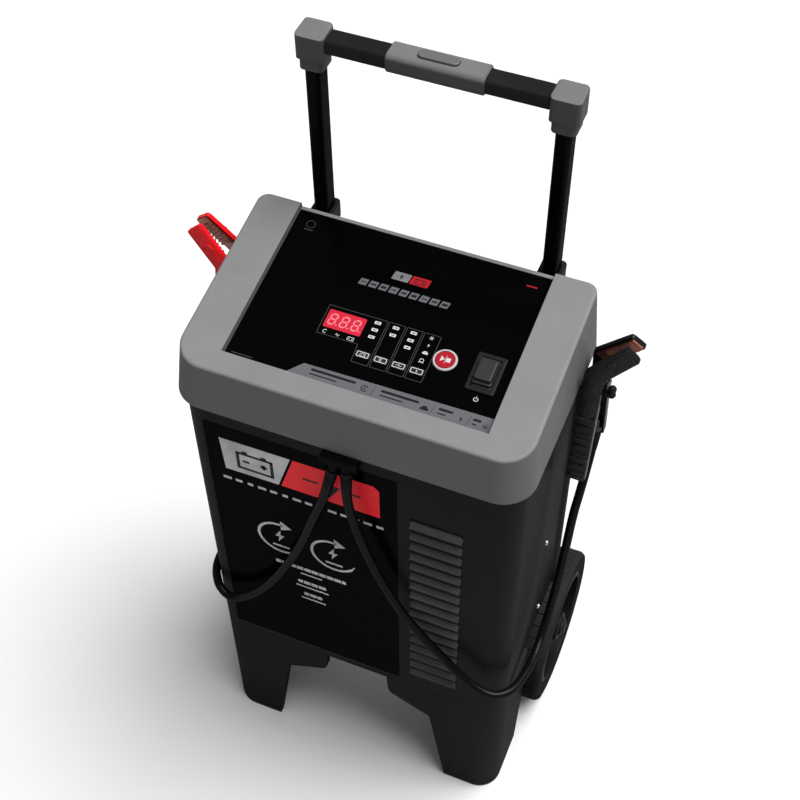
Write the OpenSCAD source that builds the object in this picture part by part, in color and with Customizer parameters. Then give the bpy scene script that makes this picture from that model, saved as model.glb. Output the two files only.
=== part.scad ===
// Wheeled battery charger and engine starter, real size in mm, +Z up.
// X runs to the right as seen from the front, Y runs to the back.
// The origin is on the floor at the centre of the footprint.

/* [Body] */
// Width of the cabinet
body_w = 360; // [340:2:380]
// Depth of the cabinet
body_d = 216; // [212:1:217]
// Height of the seam between base and cabinet
base_h = 202; // [202:1:210]
// Radius of the vertical corners
corner_r = 28; // [20:1:34]
// Wall thickness of the moulded shells
wall = 3; // [2.5:0.1:4]

/* [Head] */
// Width of the head along its top edge
head_top_w = 362; // [352:1:366]
// Width of the head along its skirt
head_skirt_w = 373; // [368:1:380]
// Height of the skirt edge
skirt_z = 627; // [620:1:632]
// Height of the top front edge
head_z = 680; // [676:1:690]
// Slope of the control panel in degrees
panel_slope = 9.3; // [6:0.1:12]
// Width of the recessed control panel
panel_w = 272; // [266:1:276]
// Length of the control panel up the slope
panel_l = 187; // [182:1:188]
// Height of the side rails over the panel
rail_h = 8; // [5:0.5:10]

/* [Louvres and label] */
// Number of front louvre slats
slat_count = 17; // [10:1:17]
// Pitch of the slats
slat_pitch = 18.4; // [16:0.1:18.5]
// Width of the louvre opening
louvre_w = 55; // [40:1:56]

/* [Wheels] */
// Wheel radius
wheel_r = 100; // [90:1:100]
// Tyre width
tyre_w = 36; // [28:1:36]
// Axle radius
axle_r = 8; // [6:0.5:9]

/* [Handle] */
// Distance from the middle to each tube
tube_x = 124; // [118:1:126]
// Travel of the pull-out handle
handle_travel = 148; // [100:1:148]
// Height of the top of the cross bar, pulled out
bar_top = 908; // [900:1:915]

/* [Leads and clamps] */
// Diameter of each clamp lead
lead_d = 10; // [8:0.5:11]
// Width of a clamp arm
arm_w = 20; // [16:1:20]
// Length of a clamp grip below its pivot
grip_len = 115; // [100:1:118]
// Lean of each clamp arm away from the middle
arm_lean = 9; // [8:0.5:10]

/* [Hidden] */
$fn = 64;

// distance from the middle of the footprint to the cabinet front
front_y = 142.7;
slope_k = tan(panel_slope);
panel_y = 26;
panel_z = head_z + panel_y * slope_k - rail_h;
wheel_y = 202;
tube_y = 242;
tube_in = [16, 23];
tube_out = [20.8, 27.8];
fit = 0.3;
pivot = [200, 168, 627];
bend_z = 24;
jaw_tilt = 40;
jaw_len = 52;
gland_x = 1;
gland_z = 616;
lead_x = [-5.5, 7];
c_grey = [0.42, 0.42, 0.43];
c_black = [0.07, 0.07, 0.075];
c_dark = [0.11, 0.11, 0.12];
c_steel = [0.7, 0.7, 0.72];

// places geometry measured from the cabinet front face
module place() { translate([0, -front_y, 0]) children(); }

// the control panel plane: x across, y up the slope, z square to it
module on_panel() { place() translate([0, panel_y, panel_z]) rotate([panel_slope, 0, 0]) children(); }

module rrect(w, d, r) {
  square([w - 2 * r, d], center = true);
  square([w, d - 2 * r], center = true);
  for (sx = [-1, 1]) for (sy = [-1, 1])
    translate([sx * (w / 2 - r), sy * (d / 2 - r)]) circle(r);
}

module rblock(w, d, h, r) { linear_extrude(h) rrect(w, d, r); }

// rounded rectangle given by its low corner
module rslab(x, y, w, d, r, h) { translate([x + w / 2, y + d / 2, 0]) rblock(w, d, h, r); }

// solid with rounded top edges
module pillow(w, d, h, r, e) {
  steps = 4;
  hull() {
    rblock(w, d, 0.1, r);
    for (k = [0:steps])
      translate([0, 0, h - e + e * sin(k * 90 / steps) - 0.02])
        rblock(w - 2 * e * (1 - cos(k * 90 / steps)), d - 2 * e * (1 - cos(k * 90 / steps)),
               0.02, max(r - e * (1 - cos(k * 90 / steps)), 0.5));
  }
}

// ---------------------------------------------------------------- head
head_back = 213.5;
skirt_front = -8;
skirt_back = 222;
head_r = 35;
rear_r = 12;

// four corner posts, wide radii at the front and small ones at the back
module head_slab(w, y1, y2, rf, rb, t) {
  for (s = [-1, 1]) {
    translate([s * (w / 2 - rf), y1 + rf, 0]) cylinder(r = rf, h = t);
    translate([s * (w / 2 - rb), y2 - rb, 0]) cylinder(r = rb, h = t);
  }
}

// the outer form, grown or shrunk by g and topped off below the crest by drop
module head_form(g, drop, e) {
  steps = 4;
  hull() {
    translate([0, 0, skirt_z - (g < 0 ? 1 : 0)])
      head_slab(head_skirt_w + 2 * g, skirt_front - g, skirt_back + g, head_r + g, rear_r + g, 0.1);
    for (k = [0:steps]) {
      s = e * (1 - cos(k * 90 / steps));
      translate([0, 0, head_z - drop]) rotate([panel_slope, 0, 0])
        translate([0, 0, -e + e * sin(k * 90 / steps) - 0.02])
          head_slab(head_top_w + 2 * g - 2 * s, s - g, head_back / cos(panel_slope) + g - s,
                    head_r - 3 + g - s, rear_r + g - s, 0.05);
    }
  }
}

module head_frame() {
  boss_x = 152;
  boss_y = [24, 190];
  boss_z = 645;
  color(c_grey) {
    difference() {
      place() head_form(0, 0, 3.2);
      place() head_form(-4, 22, 1);
      // seat of the control panel
      on_panel() translate([-panel_w / 2, 0, -3]) cube([panel_w, panel_l, 20]);
      // open back of the recess, leaving a thin lip
      on_panel() translate([-panel_w / 2, panel_l - 1, 0.4]) cube([panel_w, 60, 20]);
      // well under the panel
      on_panel() translate([0, panel_l / 2, -60]) rblock(panel_w - 20, panel_l - 20, 80, 6);
    }
    // screw bosses inside the head
    place() for (sx = [-1, 1]) for (y = boss_y) translate([sx * boss_x, y, boss_z]) difference() {
      cylinder(r = 6, h = head_z - 18 + y * slope_k - boss_z);
      translate([0, 0, -1]) cylinder(r = 1.6, h = 12);
    }
  }
}

// ---------------------------------------------------------------- panel
disp_c = [-38.5, 73.2];
disp_s = [39, 21];
start_c = [68.4, 65.2];
rocker_c = [110.5, 63];
rocker_s = [29, 43];
key_x = [-7.9, 10.6, 29, 47.4];
key_y = 44.5;
key_s = [14.5, 8];
key_travel = 0.8;
overlay_t = 0.6;

module panel_holes(extra) {
  translate([disp_c[0], disp_c[1], -20]) rblock(disp_s[0] + extra, disp_s[1] + extra, 40, 1.5);
  translate([start_c[0], start_c[1], -20]) cylinder(r = 11.5 + extra / 2, h = 40);
  translate([rocker_c[0], rocker_c[1], -20]) rblock(rocker_s[0] - 4 + extra, rocker_s[1] - 4 + extra, 40, 2);
  for (x = key_x) translate([x, key_y, -20]) rblock(key_s[0] + 0.8 + extra, key_s[1] + 0.8 + extra, 40, 1.4);
}

module control_panel() {
  color(c_black) difference() {
    on_panel() union() {
      translate([0, panel_l / 2, -3]) rblock(panel_w - 0.2, panel_l - 0.2, 3, 1);
      // key guide frame and display cradle behind the plate
      translate([21, key_y, -6]) rblock(80, 16, 3.01, 2);
    }
    on_panel() panel_holes(0);
  }
}

module panel_overlay() {
  color([0.02, 0.02, 0.022]) difference() {
    on_panel() translate([0, panel_l / 2, 0]) rblock(panel_w - 1.2, panel_l - 1.2, overlay_t, 2);
    on_panel() panel_holes(0.2);
  }
}

module display_module() {
  color(c_dark) on_panel() {
    translate([disp_c[0], disp_c[1], -9.6]) rblock(disp_s[0] - 0.8, disp_s[1] - 0.8, 8, 1);
    for (k = [-2:2]) for (sy = [-1, 1])
      translate([disp_c[0] + k * 5, disp_c[1] + sy * 7, -12.5]) cylinder(r = 0.5, h = 3, $fn = 8);
  }
}

// one bar of a seven-segment digit with pointed ends
module segment(len) {
  t = 0.9;
  linear_extrude(0.4)
    polygon([[-len / 2, 0], [-len / 2 + t, t], [len / 2 - t, t], [len / 2, 0], [len / 2 - t, -t], [-len / 2 + t, -t]]);
}

module display_digits() {
  pitch = 11.6;
  seg = 6.2;
  color([1, 0.1, 0.15]) on_panel() translate([disp_c[0] - 0.8, disp_c[1], -1.6])
    for (d = [-1:1]) translate([d * pitch, 0, 0]) {
      for (y = [-1, 0, 1]) translate([0, y * (seg + 0.6), 0]) segment(seg);
      for (sx = [-1, 1]) for (sy = [-1, 1])
        translate([sx * (seg / 2 + 0.35), sy * (seg / 2 + 0.3), 0]) rotate([0, 0, 90]) segment(seg);
      translate([seg / 2 + 2.4, -seg - 0.6, 0]) cylinder(r = 0.8, h = 0.4);
    }
}

module display_lens() {
  color([0.55, 0.05, 0.07]) on_panel() translate([disp_c[0], disp_c[1], -1])
    rblock(disp_s[0] - 0.1, disp_s[1] - 0.1, 1.5, 1.4);
}

module start_button_ring() {
  color([0.8, 0.8, 0.8]) on_panel() translate([start_c[0], start_c[1], -5]) difference() {
    union() {
      cylinder(r = 11.4, h = 6);
      translate([0, 0, 5 + overlay_t]) cylinder(r1 = 12.2, r2 = 11.4, h = 1);
    }
    translate([0, 0, -1]) cylinder(r = 9.9, h = 10);
  }
}

module start_stop_button() {
  color([0.8, 0.05, 0.08]) on_panel() translate([start_c[0], start_c[1], 0]) {
    translate([0, 0, -4]) cylinder(r = 9.5, h = 5.4);
    translate([0, 0, 1.39]) cylinder(r1 = 9.5, r2 = 8.9, h = 0.6);
    translate([0, 0, -7]) cylinder(r = 3, h = 3.1);
  }
}

module mode_button(k) {
  color([0.16, 0.16, 0.17]) on_panel() translate([key_x[k], key_y, -5]) {
    rblock(key_s[0], key_s[1], 6, 1.2);
    translate([0, 0, 5.99]) rblock(key_s[0] - 0.8, key_s[1] - 0.8, 0.3, 1);
  }
}

module rocker_housing() {
  rw = rocker_s[0];
  rl = rocker_s[1];
  color(c_dark) on_panel() translate([rocker_c[0], rocker_c[1], 0]) difference() {
    union() {
      translate([0, 0, overlay_t]) pillow(rw, rl, 2.4, 2, 1);
      translate([0, 0, -22]) rblock(rw - 4.4, rl - 4.4, 22.7, 1.5);
      for (y = [-12, 0, 12]) translate([-3, y - 0.4, -31]) cube([6.3, 0.8, 9.5]);
    }
    translate([0, 0, -10]) rblock(rw - 8, rl - 8, 20, 1);
  }
}

// rocker pad: a shallow V seen from the side, turning about X
rocker_hub_z = -2.5;
module power_rocker() {
  rw = rocker_s[0] - 8.8;
  half = (rocker_s[1] - 8) / 2 - 0.4;
  color([0.09, 0.09, 0.1]) on_panel() translate([rocker_c[0], rocker_c[1], rocker_hub_z])
    rotate([90, 0, 90]) translate([0, 0, -rw / 2]) linear_extrude(rw) intersection() {
      circle(half);
      polygon([[-half, 3], [-half + 0.6, 4.4], [-2, 6.6], [2, 6.6], [half - 2, 9], [half, 7],
        [half, 4.6], [6, -3.5], [-6, -3.5], [-half, 1.6]]);
    }
}

// ---------------------------------------------------------------- cabinet
shell_edge_y = 110;
arc_r = 110;
arc_z = 345;
shell_top = skirt_z + 10;
louvre_c = [97, 389];
label_x = [-155, 55];
label_z = [213, 600];
side_x = 176;

// slats that slope out of the front wall like small awnings
module louvre_slats(x, w, z_mid, count, pitch) {
  for (k = [0:count - 1])
    translate([x - w / 2 - 0.5, 0, z_mid + (k - (count - 1) / 2) * pitch])
      rotate([90, 0, 90]) linear_extrude(w + 1)
        polygon([[-3.8, -3.6], [-2.4, -3.6], [1.8, 1.4], [2.9, 2.2], [2.9, 4.6], [0.4, 4], [-3.8, -2.6]]);
}

module cabinet_shell() {
  louvre_h = slat_count * slat_pitch + 2;
  color(c_black) place() {
    difference() {
      translate([0, body_d / 2, base_h]) linear_extrude(shell_top - base_h) difference() {
        rrect(body_w, body_d, corner_r);
        rrect(body_w - 2 * wall, body_d - 2 * wall, corner_r - wall);
      }
      translate([-300, shell_edge_y, base_h - 1]) cube([600, 200, 600]);
      // rounded lower back corner of each side
      difference() {
        translate([-300, corner_r, base_h - 1]) cube([600, 200, arc_z - base_h + 1]);
        translate([0, 0, arc_z]) rotate([0, 90, 0]) cylinder(r = arc_r, h = 700, center = true);
      }
      // louvre opening
      translate([louvre_c[0] - louvre_w / 2, -10, louvre_c[1] - louvre_h / 2]) cube([louvre_w, 30, louvre_h]);
      // shallow seat of the label plate
      translate([label_x[0], -1, label_z[0]]) cube([label_x[1] - label_x[0], 2.4, label_z[1] - label_z[0]]);
      // thin parting groove over the base
      translate([-300, -1, base_h - 0.5]) cube([600, 1.6, 1.5]);
      // notch for the gland
      translate([gland_x - 17, -10, gland_z]) cube([34, 30, 9.6]);
    }
    louvre_slats(louvre_c[0], louvre_w, louvre_c[1], slat_count, slat_pitch);
    // stiffening uprights behind the slat ends
    for (sx = [-1, 1]) translate([louvre_c[0] + sx * (louvre_w / 2 + 1.5) - 2, wall - 0.1, louvre_c[1] - louvre_h / 2])
      cube([4, 5, louvre_h]);
  }
}

module front_label_plate() {
  inset = 0.4;
  color([0.015, 0.015, 0.018]) place()
    translate([(label_x[0] + label_x[1]) / 2, 1.4, (label_z[0] + label_z[1]) / 2]) rotate([90, 0, 0])
      rblock(label_x[1] - label_x[0] - 2 * inset, label_z[1] - label_z[0] - 2 * inset, 1, 2);
}

module rear_outline(g) {
  post_y = 196;
  translate([0, (4 + body_d) / 2]) rrect(2 * side_x - 2 * g, body_d - 4 - 2 * g, 12 - g);
  translate([0, (post_y + body_d) / 2]) rrect(body_w - 2 * g, body_d - post_y - 2 * g, 9 - g);
}

module rear_shell() {
  fan_c = [0, 480];
  inlet_c = [88, 270];
  color(c_black) place() difference() {
    union() {
      difference() {
        translate([0, 0, base_h]) linear_extrude(shell_top - base_h) difference() {
          rear_outline(0);
          rear_outline(wall);
        }
        // open front
        translate([-side_x - 1, -5, base_h - 1]) cube([2 * side_x + 2, 45, 600]);
      }
      // ledge over the wheels
      translate([0, 0, base_h]) linear_extrude(wall) difference() {
        rear_outline(0);
        translate([-150, -1]) square([300, body_d - 20]);
        translate([-200, -1]) square([400, 99]);
      }
      // raised rim round the fan
      translate([fan_c[0], body_d - 0.1, fan_c[1]]) rotate([-90, 0, 0]) cylinder(r = 62, h = 1.6);
    }
    // fan opening, bridged by the spokes below
    difference() {
      translate([fan_c[0], body_d - 10, fan_c[1]]) rotate([-90, 0, 0]) cylinder(r = 56, h = 20);
      for (a = [0:45:135]) translate([fan_c[0], body_d, fan_c[1]]) rotate([0, a, 0]) cube([120, 30, 3], center = true);
      for (r = [16, 30, 44]) translate([fan_c[0], body_d - 11, fan_c[1]]) rotate([-90, 0, 0]) difference() {
        cylinder(r = r + 1.4, h = 30);
        translate([0, 0, -1]) cylinder(r = r - 1.4, h = 40);
      }
    }
    // lower vent slots
    for (k = [0:6]) translate([-100, body_d - 10, 250 + k * 14]) cube([120, 20, 5]);
    // inlet opening
    translate([inlet_c[0] - 24, body_d - 10, inlet_c[1] - 17]) cube([48, 20, 34]);
  }
}

// ---------------------------------------------------------------- base
module base_plinth() {
  t = 9;
  cheek_x = 158;
  leg_in = 114;
  leg_top = 92.5;
  pad = 4;
  color(c_black) place() difference() {
    union() {
      // front legs with their beams, and the side returns
      for (s = [-1, 1]) scale([s, 1, 1]) {
        intersection() {
          translate([0, 40, 0]) rotate([90, 0, 0]) linear_extrude(60)
            polygon([[38.5, base_h], [body_w / 2, base_h], [body_w / 2, pad], [leg_in, pad], [leg_top, 143],
              [44, 167], [40, 175]]);
          translate([0, body_d / 2, 0]) linear_extrude(base_h) difference() {
            rrect(body_w, body_d, corner_r);
            rrect(body_w - 2 * t, body_d - 2 * t, corner_r - t);
          }
        }
        intersection() {
          translate([cheek_x + 12, 0, 0]) rotate([90, 0, 90]) linear_extrude(30)
            polygon([[0, pad], [82, pad], [97, 82], [98, base_h], [0, base_h]]);
          translate([0, body_d / 2, 0]) linear_extrude(base_h) difference() {
            rrect(body_w, body_d, corner_r);
            rrect(body_w - 2 * t, body_d - 2 * t, corner_r - t);
          }
        }
        // step from the wide front to the wheel well
        translate([cheek_x - 8, 89, 100]) cube([body_w / 2 - cheek_x + 4, 9, base_h - 100]);
        // axle cheek
        translate([cheek_x - 8, 0, 0]) rotate([90, 0, 90]) linear_extrude(8)
          polygon([[89, base_h], [89, 120], [172, 74], [222, 74], [222, 120], [214, base_h]]);
        translate([cheek_x - 24, wheel_y, wheel_r]) rotate([0, 90, 0]) cylinder(r = 17, h = 24);
      }
      // floor of the base
      difference() {
        translate([0, body_d / 2, base_h - 10]) linear_extrude(10) rrect(body_w - 2 * t + 1, body_d - 2 * t, 10);
        for (s = [-1, 1]) translate([s * (cheek_x + 40) - 40, 98, base_h - 20]) cube([80, 200, 30]);
      }
      // cross ribs under the floor
      for (y = [60, 130, 200]) translate([-cheek_x + 4, y, base_h - 40]) cube([2 * cheek_x - 8, 5, 34]);
    }
    translate([0, wheel_y, wheel_r]) rotate([0, 90, 0]) cylinder(r = axle_r, h = 500, center = true);
  }
}

module foot_pad(s) {
  t = 9;
  color([0.05, 0.05, 0.05]) place() scale([s, 1, 1]) intersection() {
    translate([0, body_d / 2, 0]) linear_extrude(4) difference() {
      rrect(body_w - 1, body_d - 1, corner_r - 0.5);
      rrect(body_w - 2 * t + 1, body_d - 2 * t + 1, corner_r - t + 0.5);
    }
    translate([114.5, -5, -1]) cube([80, 86, 6]);
  }
}

// ---------------------------------------------------------------- wheels
wheel_in = 163;

module wheel_axle() {
  color(c_steel) place() translate([0, wheel_y, wheel_r]) rotate([0, 90, 0])
    cylinder(r = axle_r - 0.03, h = 2 * (wheel_in + tyre_w - 1.5), center = true);
}

module tyre(s) {
  r = wheel_r;
  w = tyre_w;
  blocks = 40;
  color([0.05, 0.05, 0.05]) place() scale([s, 1, 1]) translate([wheel_in, wheel_y, r]) rotate([0, 90, 0]) difference() {
    rotate_extrude($fn = 96) {
      polygon([[r - 26, 3], [r - 8, 0.5], [r - 3, 1.5], [r, 6], [r, w - 6], [r - 3, w - 1.5], [r - 8, w - 0.5],
        [r - 26, w - 3]]);
    }
    // tread cuts and two ring grooves
    for (k = [0:blocks - 1]) rotate([0, 0, k * 360 / blocks]) translate([r - 1.3, -1.1, 9]) cube([4, 2.2, w - 18]);
  }
}

module wheel_rim(s) {
  r = wheel_r - 26;
  w = tyre_w;
  holes = 5;
  color([0.12, 0.12, 0.125]) place() scale([s, 1, 1]) translate([wheel_in, wheel_y, wheel_r]) rotate([0, 90, 0])
    difference() {
      union() {
        rotate_extrude($fn = 96) {
          polygon([[r - 5, 3], [r, 3], [r, w - 3], [r - 5, w - 2]]);
          polygon([[18, 20], [r - 4, 14], [r - 4, 20], [18, 27]]);
          polygon([[axle_r + 0.05, 0.5], [15, 0.5], [19, 20], [19, w - 4], [16, w - 2], [axle_r + 0.05, w - 2]]);
        }
        for (k = [0:holes - 1]) rotate([0, 0, k * 360 / holes + 36]) translate([17, -3, 8]) cube([r - 20, 6, 14]);
      }
      for (k = [0:holes - 1]) rotate([0, 0, k * 360 / holes]) translate([44, 0, 0]) cylinder(r = 14, h = 60);
    }
}

module axle_caps() {
  color(c_steel) place() for (s = [-1, 1]) scale([s, 1, 1])
    translate([wheel_in + tyre_w - 1.5, wheel_y, wheel_r]) rotate([0, 90, 0]) {
      cylinder(r = 12, h = 1.5);
      translate([0, 0, 1.49]) cylinder(r1 = 9.5, r2 = 7, h = 3);
    }
}

// ---------------------------------------------------------------- handle
sleeve_bottom = 440;
sleeve_top = 678;
collar_top = 688;
tube_bottom = 622;
pin_z = 630;

module tube_ring(s, out, in, z1, z2) {
  translate([s * tube_x, tube_y, z1]) linear_extrude(z2 - z1) difference() {
    rrect(out[0], out[1], 6);
    rrect(in[0], in[1], 5);
  }
}

module outer_tube(s) {
  slot_w = 6;
  color([0.06, 0.06, 0.065]) place() difference() {
    tube_ring(s, tube_out, [tube_in[0] + 2 * fit, tube_in[1] + 2 * fit], sleeve_bottom, sleeve_top);
    // guide slot of the latch pin on the inner side
    translate([s * (tube_x - tube_out[0] / 2) - 4, tube_y - slot_w / 2, 460]) cube([8, slot_w, 175]);
  }
}

// clips that hold each outer tube on the back of the cabinet
module tube_brackets() {
  color(c_steel) place() for (s = [-1, 1]) for (z = [470, 600]) {
    translate([s * tube_x, 0, z]) difference() {
      union() {
        translate([-tube_out[0] / 2 - 2.5, body_d, 0])
          cube([tube_out[0] + 5, tube_y + tube_out[1] / 2 + 2.5 - body_d, 22]);
        translate([-26, body_d, 0]) cube([52, 2, 22]);
      }
      translate([0, tube_y, -1]) linear_extrude(30) rrect(tube_out[0], tube_out[1], 6);
    }
  }
}

module tube_collars() {
  seat = 8;
  color(c_dark) place() for (s = [-1, 1]) difference() {
    tube_ring(s, [25, 31.6], [tube_in[0] + 2 * fit, tube_in[1] + 2 * fit], sleeve_top - seat, collar_top);
    translate([s * tube_x, tube_y, sleeve_top - 2 * seat]) linear_extrude(2 * seat) rrect(tube_out[0], tube_out[1], 6);
  }
}

module inner_tube(s) {
  color([0.05, 0.05, 0.055]) place() difference() {
    translate([s * tube_x, tube_y, tube_bottom]) linear_extrude(bar_top - 24 - tube_bottom) difference() {
      rrect(tube_in[0], tube_in[1], 5);
      rrect(tube_in[0] - 3, tube_in[1] - 3, 3.5);
    }
    // hole for the latch pin
    translate([s * (tube_x - 7), tube_y, pin_z]) rotate([0, 90, 0]) cylinder(r = 2.6, h = 8, center = true);
  }
}

module corner_hub(s) {
  color(c_grey) place() difference() {
    union() {
      translate([s * tube_x, tube_y, bar_top - 26]) intersection() {
        pillow(30, 29, 29, 5, 4);
        translate([-20, -20, -1]) rotate([9, 0, 0]) translate([0, 0, -10]) cube([40, 60, 35.5]);
      }
      translate([s * tube_x, tube_y, bar_top - 38]) rblock(25, 27, 12.1, 6);
    }
    translate([s * tube_x, tube_y, bar_top - 50]) rblock(tube_in[0], tube_in[1], 26, 5);
    translate([s * (tube_x - 11) - 9, tube_y, bar_top - 9.5]) rotate([0, 90, 0]) rblock(13.4, 20.4, 18, 4);
  }
}

module cross_bar() {
  cover_l = 60.5;
  color([0.06, 0.06, 0.065]) place() translate([0, tube_y, bar_top - 9.5]) rotate([0, 90, 0]) difference() {
    union() {
      translate([0, 0, -121]) linear_extrude(242) rrect(13.4, 20.4, 4);
      // stepped covers on each side of the grip
      for (s = [-1, 1]) translate([0, 0, s * (grip_half + cover_l / 2)]) linear_extrude(cover_l, center = true)
        rrect(15.4, 22.4, 3);
    }
    translate([0, 0, -130]) linear_extrude(260) rrect(9.4, 16.4, 2);
    // mouth for the release button stem
    translate([-10, 0, 0]) rotate([0, 90, 0]) rblock(5, 5, 9, 1);
  }
}

grip_half = 48;
button_travel = 3;

module centre_grip() {
  pocket = [40.6, 12.6];
  color(c_grey) place() difference() {
    translate([0, tube_y, bar_top - 9]) rotate([0, 90, 0]) {
      translate([0, 0, -grip_half]) linear_extrude(2 * grip_half) rrect(19, 25, 5);
      translate([0, 0, 1 - grip_half]) linear_extrude(2 * grip_half - 2) rrect(21, 27, 6);
    }
    translate([0, tube_y, bar_top - 9.5]) rotate([0, 90, 0]) translate([0, 0, -60]) linear_extrude(120)
      rrect(13.4, 20.4, 4);
    // end seats of the stepped covers
    for (s = [-1, 1]) translate([s * (grip_half + 1), tube_y, bar_top - 9.5]) rotate([0, 90, 0])
      linear_extrude(2, center = true) rrect(15.8, 22.8, 3);
    translate([0, tube_y, bar_top - 6]) rblock(pocket[0], pocket[1], 20, 5);
  }
}

module release_button() {
  color([0.33, 0.33, 0.34]) place() translate([0, tube_y, bar_top]) {
    translate([0, 0, 0.6]) pillow(40, 12, 3.4, 5, 1.2);
    translate([0, 0, -10.6]) rblock(4.4, 4.4, 11.3, 1);
  }
}

module latch_pin(s) {
  color(c_steel) place() translate([s * (tube_x - 3.4), tube_y, pin_z]) rotate([0, -90 * s, 0]) {
    translate([0, 0, -4]) cylinder(r = 4.5, h = 6.5);
    cylinder(r = 2.5, h = 6.6);
  }
}

// ---------------------------------------------------------------- leads
function cr(p0, p1, p2, p3, t) = 0.5 * ((2 * p1) + (p2 - p0) * t + (2 * p0 - 5 * p1 + 4 * p2 - p3) * t * t
  + (3 * p1 - p0 - 3 * p2 + p3) * t * t * t);
function at(p, i) = p[max(0, min(len(p) - 1, i))];
function smooth_path(p, n) = [for (i = [0:len(p) - 2]) for (k = [0:n - 1])
  cr(at(p, i - 1), at(p, i), at(p, i + 1), at(p, i + 2), k / n), p[len(p) - 1]];
function unit(v) = v / norm(v);
function tangent(p, i) = unit(at(p, i + 1) - at(p, i - 1));
// frame carried along the path without twist
function carry(n, t) = unit(n - t * (n * t));
function normals(p, i, n, acc) = i == len(p) ? acc
  : let (m = carry(n, tangent(p, i))) normals(p, i + 1, m, concat(acc, [m]));
function ring(c, t, n, r, sides) = [for (k = [0:sides - 1])
  let (a = k * 360 / sides, b = cross(t, n)) c + r * (cos(a) * n + sin(a) * b)];

module tube_along(route, r, sides, sub) {
  p = smooth_path(route, sub);
  ns = normals(p, 0, [0, 1, 0], []);
  rings = len(p);
  pts = [for (i = [0:rings - 1]) for (q = ring(p[i], tangent(p, i), ns[i], r, sides)) q];
  faces = concat(
    [[for (k = [0:sides - 1]) k]],
    [for (i = [0:rings - 2]) for (k = [0:sides - 1])
      let (a = i * sides + k, b = i * sides + (k + 1) % sides) [a, a + sides, b + sides, b]],
    [[for (k = [0:sides - 1]) (rings - 1) * sides + sides - 1 - k]]);
  polyhedron(pts, faces);
}

black_route = [[7, -10.5, 622], [7, -11, 604], [8, -14, 565], [13, -14, 531], [25, -14, 484], [41, -14, 438],
  [63, -14, 390], [84, -14, 358], [110, -14, 325], [137, -15, 296], [158, -15, 281], [176, -11, 275],
  [190, 4, 273], [196, 30, 268], [198, 62, 264], [198, 90, 276], [199, 108, 302], [200, 122, 335],
  [200, 137, 375], [200, 152, 420], [201, 166, 448], [201, 184, 470], [200.5, 199, 487], [200, 206.5, 501],
  [200, 204.8, 516.4]];
red_route = [[-5.5, -10.5, 622], [-7, -11, 604], [-19, -14, 551], [-33, -14, 507], [-50, -14, 452], [-72, -14, 397],
  [-94, -14, 351], [-116, -14, 317], [-137, -14, 295], [-153, -13, 288], [-166, -8, 292], [-175, 2, 293],
  [-182, 14, 290], [-187, 30, 287], [-190, 60, 285], [-194, 90, 292], [-197, 110, 312], [-199, 125, 345],
  [-200, 140, 385], [-200, 152, 421], [-201, 166, 448], [-201, 184, 470], [-200.5, 199, 487], [-200, 206.5, 501],
  [-200, 204.8, 516.4]];
lead_sides = 10;

module black_lead() { color([0.06, 0.06, 0.06]) place() tube_along(black_route, lead_d / 2, lead_sides, 3); }

module red_lead() { color([0.06, 0.06, 0.06]) place() tube_along(red_route, lead_d / 2, lead_sides, 3); }

module cable_gland() {
  color([0.2, 0.2, 0.205]) place() difference() {
    union() {
      translate([gland_x - 19, -16.5, gland_z]) cube([38, 16.2, 10]);
      translate([gland_x - 16.6, -1, gland_z + 0.3]) cube([33.2, 9, 9]);
      // sleeve round each lead
      for (x = lead_x) translate([x, -10.5, gland_z - 8]) cylinder(r1 = 5.7, r2 = 6.1, h = 8.1);
    }
    for (x = lead_x) translate([x, -10.5, gland_z - 9]) cylinder(r = lead_d / 2 + 0.05, h = 15);
  }
}

// ---------------------------------------------------------------- clamps
// side 1 is the right clamp, side -1 its mirror image on the left
module at_clamp(side) {
  scale([side, 1, 1]) translate([pivot[0], pivot[1] - front_y, pivot[2]]) children();
}

// front arm outline in X and Z: straight grip, then the jaw bent outwards
module arm_outline(w, z0, jl) {
  translate([-w / 2, z0]) square([w, bend_z - z0]);
  translate([0, bend_z]) circle(w / 2);
  translate([0, bend_z]) rotate(-jaw_tilt) {
    translate([-w / 2, 0]) square([w, jl - 3]);
    translate([-w / 2 + 3, 0]) square([w - 6, jl]);
    for (sx = [-1, 1]) translate([sx * (w / 2 - 3), jl - 3]) circle(3);
  }
}

// a plate of the outline between two depths, measured towards the front
module arm_plate(w, z0, jl, y1, y2) {
  translate([0, -y1, 0]) rotate([90, 0, 0]) linear_extrude(y2 - y1) arm_outline(w, z0, jl);
}

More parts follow.
